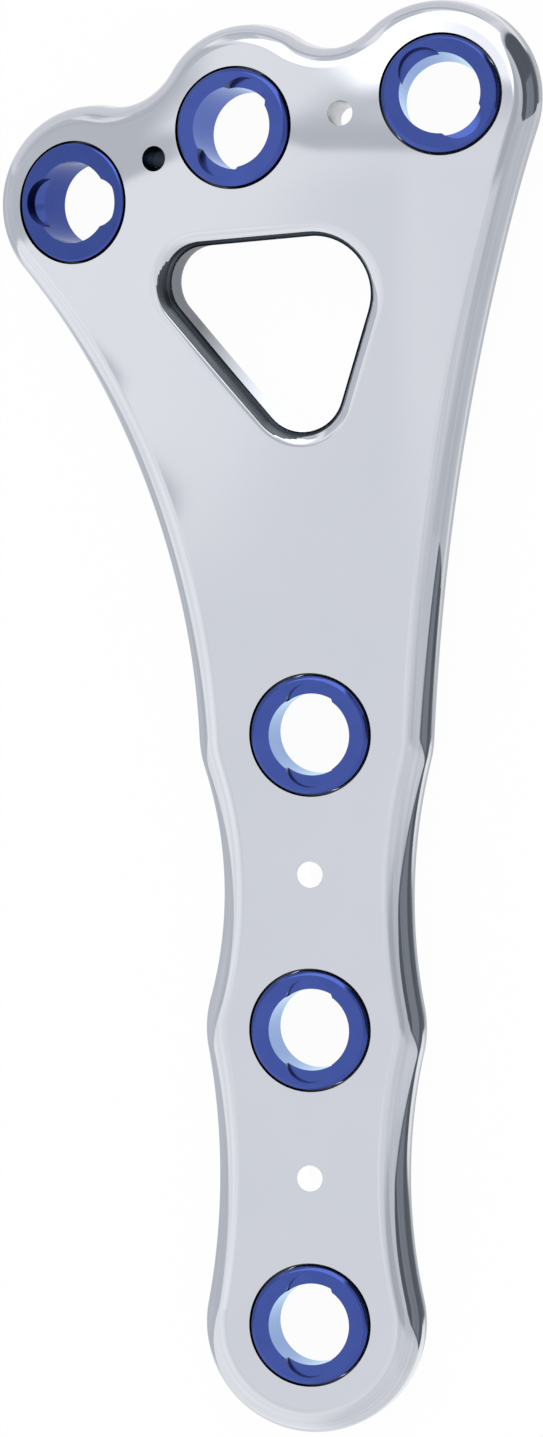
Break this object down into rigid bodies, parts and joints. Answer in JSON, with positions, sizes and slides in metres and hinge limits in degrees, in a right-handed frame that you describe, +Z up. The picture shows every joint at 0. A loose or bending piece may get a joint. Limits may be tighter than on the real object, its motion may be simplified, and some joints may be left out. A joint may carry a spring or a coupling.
{
  "type": "orthopedic bone plate",
  "caption": "Contoured metal bone plate with a triangular window in its widened head, a scalloped shaft and threaded-in locking bushings.",
  "frame": {"origin": "on the surface that the loose plate lies on, under the middle of its box", "axes": "+Z up, away from the surface that the bone side lies on; +Y along the shaft towards the head; +X towards the side of the head's larger lobe, right in the picture"},
  "size_m": [0.0454, 0.115, 0.0088],
  "materials": {
    "polished_implant_steel": "bright electropolished, with soft broad reflections",
    "blue_anodised_titanium": "satin blue anodised"
  },
  "bodies": {
    "root": {"plate_body": "polished_implant_steel", "head_bushing_left": "blue_anodised_titanium", "head_bushing_middle": "blue_anodised_titanium", "head_bushing_right": "blue_anodised_titanium", "shaft_bushing_upper": "blue_anodised_titanium", "shaft_bushing_middle": "blue_anodised_titanium", "shaft_bushing_lower": "blue_anodised_titanium"}
  },
  "joints": []
}
